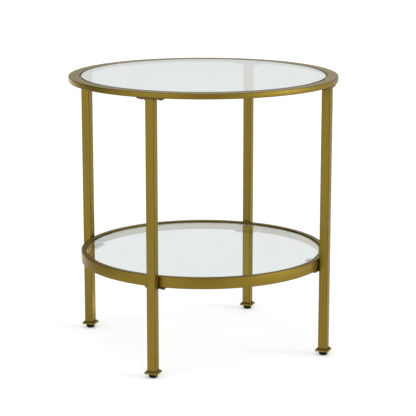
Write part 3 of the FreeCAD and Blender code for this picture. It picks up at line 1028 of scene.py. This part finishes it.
@dataclass
class Tier:
    """One level of the table: a tube ring, a loose glass disc and what it lies on.

    Glass lies recess below the ring's top. The bore is painted darker down to shade_depth, as
    painted shade round the glass. painted_shade_top is for the ring that stands inside the legs:
    its top and its wall behind each leg get painted shade, and its glass has a paler edge.
    """

    name: str
    wide: float
    tall: float
    bolt_x: float
    bolt_side: float
    seat: float
    recess: float
    # how far down the bore the painted shade goes
    shade_depth: float
    # whether the top and the wall behind each leg get painted shade
    painted_shade_top: bool
    palette: Palette
    ring_columns: int = 360
    disc_columns: int = 288
    ring_corner: float = 1.5 * MM
    corner_steps: int = 6
    shade_level: float = 1.4
    shade_reach: float = 13.5 * MM
    glass_thick: float = 5.0 * MM
    glass_gap: float = 3.5 * MM
    arris: float = 0.6 * MM
    tab: Plate = Plate(21.0 * MM, 22.0 * MM, 2.0 * MM, 2.0 * MM, 0.3 * MM)
    tab_reach: float = 20.0 * MM  # what shows of the tab's length, inside the ring
    outer: float = field(init=False)
    top: float = field(init=False)

    def __post_init__(self) -> None:
        """Reads the ring's radius and height off its solid."""
        low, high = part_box(f"{self.name}_ring")
        self.outer = min(-low.x, -low.y, high.x, high.y)
        self.top = high.z

    @property
    def bore(self) -> float:
        """Inside radius of the ring."""
        return self.outer - self.wide

    @property
    def glass_top(self) -> float:
        """Height of the glass's upper face."""
        return self.top - self.recess

    @property
    def glass_underside(self) -> float:
        """Height of the glass's lower face."""
        return self.glass_top - self.glass_thick

    @property
    def tab_top(self) -> float:
        """Height of the face that the bumpers stand on."""
        return self.glass_underside - Bumper.tall

    def ring_shell(self) -> Shell:
        """The tube's rounded section carried round the table's axis.

        The bore's straight side is split shade_depth below the top. The faces above the split,
        between points that face inwards, take the dark bore finish, which is painted shade.
        On a ring inside the legs the top is marked as painted shade, and so is the wall behind
        each leg, by shade_level exp(-(s / shade_reach) ** 6), s from the leg's middle.

        Returns:
            The ring, in place.
        """
        size = (self.wide, self.tall)
        section, facing, worn_and_shaded = rounded_loop(*size, self.ring_corner, self.corner_steps)
        bore_start = len(section) // 2
        lip = self.tall / 2 - self.shade_depth
        section = np.insert(section, bore_start, (-self.wide / 2, lip), 0)
        facing = np.insert(facing, bore_start, (-1.0, 0.0), 0)
        worn_and_shaded = np.insert(worn_and_shaded, bore_start, 0.0)
        inwards, outwards, upwards = facing[:, 0] < -0.8, facing[:, 0] > 0.5, facing[:, 1] > 0.99
        # painted shade on the top faces of a ring inside the legs
        if self.painted_shade_top:
            worn_and_shaded[upwards] = 1.0
        middle = (self.outer - self.wide / 2, self.top - self.tall / 2)
        ring = turned_profile(section + middle, self.ring_columns, worn_and_shaded[:, None], closed=True)
        # painted shade on the outer wall behind each leg, where the leg's shade falls
        if self.painted_shade_top:
            turn = even_turn(self.ring_columns)
            off_leg = self.outer * (turn % QUARTER_TURN - QUARTER_TURN / 2)
            shade = self.shade_level * np.exp(-((off_leg / self.shade_reach) ** 6))
            ring.edge[:] = np.maximum(ring.edge, np.outer(outwards, shade).reshape(-1))
        # painted shade: the bore's faces above the split take the dark finish
        bore_shaded = inwards & (section[:, 1] > lip - 0.01 * MM)
        ring.quad_patch[:] = np.repeat(bore_shaded & np.roll(bore_shaded, -1), self.ring_columns)
        return ring

    def glass_shell(self) -> Shell:
        """The disc: flat faces, and a rim of a straight edge between two ground arrises.

        Returns:
            The disc, in place, with its rim as the second patch.
        """
        radius = self.bore - self.glass_gap
        inner = radius - self.arris
        low, high = self.glass_underside, self.glass_top
        rim = [(radius, low + self.arris), (radius, high - self.arris)]
        profile = np.array([(inner, low), *rim, (inner, high)])
        disc = turned_profile(profile, self.disc_columns)
        disc.quad_patch[:] = 1
        return disc

    def tab_shell(self) -> Shell:
        """A support tab, which runs under the glass from inside the ring."""
        middle = self.bore - self.tab_reach + self.tab.along / 2
        return self.tab.shell(middle, self.tab_top - self.tab.thick)

    def bolt_shell(self) -> Shell:
        """Two bolts of one corner."""
        bolt = ButtonBolt().shell().moved(self.bolt_x, 0.0, self.seat)
        return Shell.joined([bolt.moved(y=side) for side in (self.bolt_side, -self.bolt_side)])

    def piece(self, name: str, node: str, **settings: object) -> Piece:
        """One of the tier's pieces, in place of one of its nodes."""
        return Piece(f"{self.name}_{name}", (f"{self.name}_{node}",), **settings)

    def build(self, disc_body: str) -> None:
        """Makes the tier's pieces.

        Args:
            disc_body: the body that the glass rides on.
        """
        palette = self.palette
        # both bore finishes are painted shade on the wall above and round the glass
        bore_finish = palette.tube_lip_shade if self.painted_shade_top else palette.tube_bore_shade
        edge_finish = palette.pale_glass_edge if self.painted_shade_top else palette.glass_edge
        bumper = Bumper().shell().moved(self.bore - self.tab_reach / 2, 0.0, self.tab_top)
        rest = (
            ("support_tabs", "glass_tabs", Slot.GOLD_PAINT, self.tab_shell(), palette.shaded_underplate),
            ("clear_bumpers", "glass_bumpers", Slot.CLEAR_SILICONE, bumper, palette.silicone),
            ("button_bolts", "bolts", Slot.GOLD_BOLT, self.bolt_shell(), palette.bolt),
        )
        self.piece("ring_tube", "ring").place(self.ring_shell(), palette.tube_round, bore_finish)
        disc = self.piece("glass_disc", "glass", slot=Slot.CLEAR_GLASS, body=disc_body, crease=20.0)
        disc.place(self.glass_shell(), palette.glass, edge_finish)
        for name, node, slot, shell, finish in rest:
            self.piece(name, node, slot=slot).place(shell.on_corners(), finish)
        dress_node(f"{self.name}_rivet_nuts", palette.zinc)


# ---------------------------------------------------------------- legs


@dataclass
class Leg:
    """One leg of square tube with its three plates and its welds."""

    corner: Corner
    palette: Palette
    radius: float = LEG_RADIUS
    side: float = 20.0 * MM
    wall: float = 1.2 * MM
    tube_corner: float = 1.5 * MM
    corner_steps: int = 6
    foot: Plate = Plate(30.0 * MM, 30.0 * MM, 4.0 * MM, 1.5 * MM)
    foot_shade: float = 2.2  # painted shade: the paint darkens from the rim towards the weld
    flange: Plate = Plate(21.0 * MM, 60.0 * MM, 2.5 * MM, 2.0 * MM)
    bracket: Plate = Plate(20.0 * MM, 46.0 * MM, 3.0 * MM, 2.0 * MM)
    foot_bead: float = 3.0 * MM
    head_bead: float = 2.6 * MM
    slim_bead: float = 0.45 * MM
    bracket_bead: float = 2.2 * MM
    # painted shade over the bead under the bracket
    bracket_shade: float = 0.8
    bracket_bead_steps: int = 60
    foot_level: float = field(init=False)
    bracket_level: float = field(init=False)
    flange_level: float = field(init=False)

    def __post_init__(self) -> None:
        """Reads the plates' levels off their solids."""
        self.foot_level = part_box(self.corner.node("foot_plate"))[1].z
        self.flange_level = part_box(self.corner.node("flange_plate"))[0].z
        self.bracket_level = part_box(self.corner.node("shelf_bracket"))[0].z

    @property
    def inner_face(self) -> float:
        """Radius of the leg's inner face."""
        return self.radius - self.side / 2

    def tube_shell(self) -> Shell:
        """The tube's outline carried up its outside and down its bore.

        Returns:
            The tube, as one closed skin.
        """
        bore, steps = self.side - 2 * self.wall, self.corner_steps
        outer, _, corner = rounded_loop(self.side, self.side, self.tube_corner, steps)
        inner, _, _ = rounded_loop(bore, bore, self.tube_corner - self.wall, steps)
        rows = (
            (outer, self.foot_level),
            (outer, self.flange_level),
            (inner, self.flange_level),
            (inner, self.foot_level),
        )
        loops = [np.column_stack([loop, np.full(len(loop), level)]) for loop, level in rows]
        marks = np.stack([corner, corner, 0 * corner, 0 * corner])
        return Shell.grid(np.stack(loops), marks, loop_rows=True).moved(self.radius)

    def foot_shell(self) -> Shell:
        """The foot plate, whose upper face is painted darker towards the leg, as painted shade.

        Returns:
            The plate, as if its leg stood on +X.
        """
        foot = self.foot.shell(self.radius, self.foot_level - self.foot.thick)
        # painted shade: the middle of the upper face, under the leg, is marked darkest
        foot.edge[-1] = self.foot_shade
        return foot

    def weld_shell(self) -> Shell:
        """The beads at the foot plate, under the flange plate and under the bracket.

        Returns:
            The three beads.
        """
        bead, tube = WeldBead(), (self.side, self.tube_corner)
        foot = bead.round_tube(*tube, self.foot_bead, self.foot_bead, self.foot_level, True)
        head = bead.round_tube(*tube, self.slim_bead, self.head_bead, self.flange_level, False)
        round_beads = [shell.moved(self.radius) for shell in (foot, head)]
        return Shell.joined([*round_beads, self.bracket_weld_shell(bead)])

    def bracket_weld_shell(self, bead: WeldBead) -> Shell:
        """A straight ripple bead where the bracket's underside meets the leg's inner face.

        Along Y the section is a quarter turn of the bead's size, times the bead's wave, and it
        shrinks to a small part of that over the last ripple at each end.

        Args:
            bead: the weld's own sizes.

        Returns:
            The bead, in place.
        """
        half = self.side / 2 - self.tube_corner
        least, sunk = 0.15, -0.2
        along = np.linspace(-half, half, self.bracket_bead_steps + 1)
        end = np.clip((half - np.abs(along)) / bead.ripple, 0.0, 1.0) ** 0.5
        reach = self.bracket_bead * bead.wave(along) * (least + (1 - least) * end)
        bow = np.linspace(0.0, QUARTER_TURN, bead.arc_steps + 1)
        inward, down = (np.append(part(bow), sunk)[None] for part in (np.cos, np.sin))
        points = np.stack(
            [
                self.inner_face - inward * reach[:, None],
                np.broadcast_to(along[:, None], (len(along), len(bow) + 1)),
                self.bracket_level - down * reach[:, None],
            ],
            -1,
        )
        # the whole bead is marked with painted shade
        return Shell.grid(points, self.bracket_shade, cap_start=True, cap_end=True)

    def build(self) -> None:
        """Makes the tube, the plates and the welds, which ride on the frame."""
        node, palette = self.corner.node, self.palette
        flange = self.flange.shell(self.radius, self.flange_level)
        bracket = self.bracket.shell(self.inner_face - self.bracket.along / 2, self.bracket_level)
        for name, solid, shell, finish in (
            ("leg_tube", "leg", self.tube_shell(), palette.tube_upright),
            ("foot_square", "foot_plate", self.foot_shell(), palette.plate),
            ("head_flange", "flange_plate", flange, palette.shaded_underplate),
            ("ring_bracket", "shelf_bracket", bracket, palette.shaded_underplate),
        ):
            Piece(node(name), (node(solid),)).place(shell.turned(self.corner.turn), finish)
        welds = self.weld_shell().turned(self.corner.turn)
        Piece(node("weld_beads"), crease=60.0).place(welds, palette.weld)


@dataclass
class Glide:
    """A levelling glide: a threaded stem, and the pad that stands on the floor."""

    corner: Corner
    palette: Palette
    radius: float = LEG_RADIUS
    pitch: float = 1.25 * MM
    crest: float = 4.0 * MM
    depth: float = 0.62 * MM
    run_out: float = 0.25 * MM
    thread_start: float = 5.2 * MM
    thread_end: float = 30.0 * MM
    thread_columns: int = 36
    pitch_steps: int = 8
    flank: float = 1.25  # how fast the thread's flanks fall, and where its crests end
    crest_flat: float = 0.12
    pad_columns: int = 56

    def stem_shell(self) -> Shell:
        """The glide's stem: a collar, then a threaded shank.

        The thread's radius at a turn t and height z is the crest less the depth times the
        triangle wave of z / pitch - t / (2 pi), and fades out over the first and last pitch.

        Returns:
            The stem, about the origin.
        """
        columns = self.thread_columns
        turn = even_turn(columns)
        start, end = self.thread_start, self.thread_end
        level = np.arange(start, end + 1e-9, self.pitch / self.pitch_steps)[:, None]
        phase = (level / self.pitch - turn[None] / FULL_TURN) % 1.0
        groove = 1 - np.abs(2 * phase - 1)
        fade = np.clip(np.minimum(level - start, end - level) / self.pitch, 0.0, 1.0)
        cut = self.depth * fade * np.clip(self.flank * groove - self.crest_flat, 0.0, 1.0)
        thread = self.crest - self.run_out * (1 - fade) - cut
        collar = np.array([(6.0, 2.0), (6.0, 4.5), (4.0, 4.5), (3.9, 5.1)]) * MM
        radius = np.concatenate([np.repeat(collar[:, :1], columns, 1), thread])
        height = np.concatenate([collar[:, 1:], level])
        return Shell.grid(spun(radius, height, columns), cap_start=True, cap_end=True)

    def pad_shell(self) -> Shell:
        """The glide's pad, turned from one profile, which is given in millimetres.

        From the middle of a shallow dish in the underside it runs out over the standing ring,
        up the round edge, past a parting line, over the top and into the throat and pocket.

        Returns:
            The pad, standing on the origin.
        """
        profile = np.concatenate(
            [
                [(0.05, 0.5), (3.4, 0.5), (4.0, 0.0), (5.3, 0.0)],
                arc((5.5, 4.5), 4.5, -88.0, 0.0, 12),
                [(10.0, 5.6), (9.9, 5.75), (9.9, 5.9), (10.0, 6.05)],
                arc((9.3, 9.0), 0.7, 0.0, 90.0, 5),
                [(4.6, 9.7), (4.05, 9.3), (4.05, 4.55)],
                [(6.05, 4.55), (6.05, 1.95), (0.05, 1.95)],
            ]
        )
        return turned_profile(profile * MM, self.pad_columns)

    def build(self) -> None:
        """Makes the stem and the pad, each on its own body."""
        node, turn = self.corner.node, self.corner.turn
        stem = Piece(node("threaded_stem"), (node("glide_stem"),), Slot.ZINC_STEEL, node("stem"))
        stem.place(self.stem_shell().moved(self.radius).turned(turn), self.palette.zinc)
        pad = Piece(node("moulded_pad"), (node("glide_pad"),), Slot.BLACK_PLASTIC, node("pad"))
        pad.place(self.pad_shell().moved(self.radius).turned(turn), self.palette.nylon)


# ---------------------------------------------------------------- studio


@dataclass(frozen=True)
class Panel:
    """A soft-edged part of the studio, as gloss mirrors it.

    In the sky it is a bright board, or stands for a lamp, or is a dark flag where its level is
    below 0. On the floor it is a flag or a bright board at an azimuth, with no elevation.
    """

    azimuth: float
    elevation: float
    level: float
    tightness: float

    @property
    def direction(self) -> tuple[float, float, float]:
        """The way to the panel's middle."""
        across, up = math.radians(self.azimuth), math.radians(self.elevation)
        return math.cos(up) * math.cos(across), math.cos(up) * math.sin(across), math.sin(up)

    @staticmethod
    def summed(shader: Shader, way: object, panels: tuple["Panel", ...], base: float) -> object:
        """A base level plus what each panel adds along a way.

        A panel adds its level times c ** tightness, where c is the cosine of the angle from its
        middle, or 0 behind it.

        Args:
            shader: the tree that the sum is made in.
            way: the socket of a direction of length 1.
            panels: the panels to add.
            base: the level where no panel reaches.

        Returns:
            The socket of the sum.
        """
        total: object = base
        for panel in panels:
            facing = shader.vector("DOT_PRODUCT", way, panel.direction).outputs["Value"]
            reach = shader.math("POWER", shader.math("MAXIMUM", facing, 0.0), panel.tightness)
            total = shader.math("ADD", total, shader.math("MULTIPLY", reach, panel.level))
        return total


@dataclass(frozen=True)
class Sun:
    """A wide soft lamp at a great distance.

    Gloss and glass don't show it: a panel of the sky, with soft edges, stands in its place.
    """

    name: str
    panel: Panel
    level: float
    spread: float

    def build(self) -> None:
        """Makes the lamp. level is what it adds to a white surface that faces it."""
        lamp = bpy.data.lights.new(self.name, "SUN")
        lamp.energy = self.level * math.pi
        lamp.angle = math.radians(self.spread)
        made = put_in_scene(self.name, lamp)
        tilt, heading = 90.0 - self.panel.elevation, self.panel.azimuth + 90.0
        made.rotation_euler = (math.radians(tilt), 0.0, math.radians(heading))
        made.visible_glossy = False
        made.visible_transmission = False


@dataclass(frozen=True)
class Studio:
    """A pale floor without end, a pale sky with panels in it, three soft lamps and the camera.

    Levels are shares of white. Dull gloss mirrors the panels, and a mirror as sharp as clear
    glass sees one level, glazed, all round.
    """

    camera_place: tuple[float, float, float] = (-1.41529, -3.33023, 1.11691)
    camera_heading: float = 66.8125
    camera_pitch: float = 12.451
    camera_lens: float = 139.13
    floor_size: float = 40.0
    floor_colour: Colour = (0.80, 0.80, 0.80)
    floor_lift: float = 0.38
    floor_mirrored: float = 0.16
    floor_through: float = 0.16
    ambient: float = 0.46
    dim: float = 0.24
    glazed: float = 0.79
    cool: Colour = (0.965, 1.0, 0.985)
    boards: tuple[Panel, ...] = (
        Panel(58.0, 9.0, 0.57, 10.0),
        Panel(208.0, 0.0, 0.38, 14.0),
        Panel(305.0, 8.0, 0.42, 8.0),
        Panel(145.0, 0.0, -0.24, 8.0),
        Panel(0.0, 90.0, 0.50, 2.0),
    )
    floor_flags: tuple[Panel, ...] = (
        Panel(145.0, 0.0, 1.10, 14.0),
        Panel(250.0, 0.0, 0.60, 40.0),
    )
    flag_colour: Colour = (0.12, 0.12, 0.11)
    flag_near: tuple[float, float] = (0.9, 0.3)  # within this distance, this share of a flag
    flag_far: tuple[float, float] = (2.3, 1.0)  # past this distance, this share
    floor_boards: tuple[Panel, ...] = (Panel(92.0, 0.0, 1.10, 20.0),)
    suns: tuple[Sun, ...] = (
        Sun("overhead_lamp", Panel(240.0, 78.0, 0.93, 4.8), 0.32, 60.0),
        Sun("left_lamp", Panel(200.0, 12.0, 1.30, 11.0), 0.12, 40.0),
        Sun("right_lamp", Panel(322.0, 12.0, 5.9, 17.0), 0.52, 34.0),
    )

    def build(self) -> None:
        """Makes everything round the table."""
        self.build_sky()
        self.build_floor()
        self.build_camera()
        for sun in self.suns:
            sun.build()
        bpy.context.scene.view_settings.view_transform = "Standard"

    def build_sky(self) -> None:
        """A sky that is white to the camera and through glass, and a softer level as light.

        What dull gloss mirrors is a dim level plus every panel of the sky.
        """
        world = bpy.data.worlds.new("studio_sky")
        bpy.context.scene.world = world
        shader = Shader("studio_sky_light", world)
        rays = shader.node("LightPath").outputs
        way = shader.node("TexCoord").outputs["Generated"]
        panels = (*self.boards, *(sun.panel for sun in self.suns))
        mirrored = Panel.summed(shader, way, panels, self.dim)
        mirrored = shader.between(rays["Is Singular Ray"], mirrored, self.glazed)
        shone = shader.between(rays["Is Glossy Ray"], self.ambient, mirrored)
        seen = shader.math("MAXIMUM", rays["Is Camera Ray"], rays["Is Transmission Ray"])
        tint = shader.blend(rays["Is Glossy Ray"], (1.0, 1.0, 1.0), self.cool)
        shader.end(shader.fed("Background", tint, shader.between(seen, shone, 1.0)))

    def build_floor(self) -> None:
        """A wide level floor. What the camera and mirrors see of it is lifted to white.

        Dull gloss also mirrors the floor's flags, which are weaker near the table, and its
        boards, each at its azimuth as seen from the table.
        """
        shader = Shader("pale_floor")
        rays = shader.node("LightPath").outputs
        point = shader.place()
        outwards = shader.vector("NORMALIZE", point, (0.0, 0.0, 0.0)).outputs[0]
        (near, near_share), (far, far_share) = self.flag_near, self.flag_far
        away = shader.ramp(shader.length(point), near, far, near_share, far_share)
        sharp = shader.math("MAXIMUM", rays["Is Singular Ray"], rays["Is Transmission Ray"])
        dull = shader.math("MAXIMUM", shader.math("SUBTRACT", rays["Is Glossy Ray"], sharp), 0.0)
        flagged = Panel.summed(shader, outwards, self.floor_flags, 0.0)
        flagged = shader.math("MULTIPLY", shader.math("MULTIPLY", flagged, away), dull)
        bright = Panel.summed(shader, outwards, self.floor_boards, 0.0)
        bright = shader.math("MULTIPLY", bright, dull)
        glow: object = 0.0
        for ray, level in (
            ("Is Camera Ray", self.floor_lift),
            ("Is Transmission Ray", self.floor_through),
            ("Is Glossy Ray", self.floor_mirrored),
        ):
            glow = shader.math("MAXIMUM", glow, shader.math("MULTIPLY", rays[ray], level))
        colour = shader.blend(flagged, self.floor_colour, self.flag_colour)
        matt = shader.fed("BsdfDiffuse", colour)
        lift = shader.named("Emission", Strength=shader.math("ADD", glow, bright))
        shader.end(shader.fed("AddShader", matt.outputs[0], lift.outputs[0]))
        half = self.floor_size / 2
        mesh = bpy.data.meshes.new("studio_floor")
        corners = [(-half, -half, 0.0), (half, -half, 0.0), (half, half, 0.0), (-half, half, 0.0)]
        mesh.from_pydata(corners, [], [(0, 1, 2, 3)])
        mesh.materials.append(shader.material)
        put_in_scene("studio_floor", mesh)

    def build_camera(self) -> None:
        """The camera, level across and pitched down towards the table."""
        data = bpy.data.cameras.new("table_camera")
        data.lens = self.camera_lens
        camera = put_in_scene("table_camera", data)
        camera.location = self.camera_place
        tilt, heading = 90.0 - self.camera_pitch, self.camera_heading - 90.0
        camera.rotation_euler = (math.radians(tilt), 0.0, math.radians(heading))
        bpy.context.scene.camera = camera


def main() -> None:
    """Dresses the table and sets it in the studio."""
    logging.basicConfig(level=logging.INFO, format="%(message)s")
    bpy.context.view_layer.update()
    Studio().build()
    palette = Palette()
    Tier(
        "top",
        wide=25.0 * MM,
        tall=12.0 * MM,
        bolt_x=LEG_RADIUS,
        bolt_side=22.0 * MM,
        seat=613.5 * MM,
        recess=0.1 * MM,
        shade_depth=9.5 * MM,
        painted_shade_top=False,
        palette=palette,
    ).build("upper_disc")
    Tier(
        "shelf",
        wide=12.0 * MM,
        tall=25.0 * MM,
        bolt_x=275.977 * MM,  # puts the bolts under the middle of the ring's wall
        bolt_side=17.0 * MM,
        seat=198.0 * MM,
        recess=3.0 * MM,
        shade_depth=4.0 * MM,
        painted_shade_top=True,
        palette=palette,
    ).build("lower_disc")
    for corner in Corner:
        Leg(corner, palette).build()
        Glide(corner, palette).build()
    dress_node("foot_weld_nuts", palette.zinc)


if __name__ == "__main__":
    main()
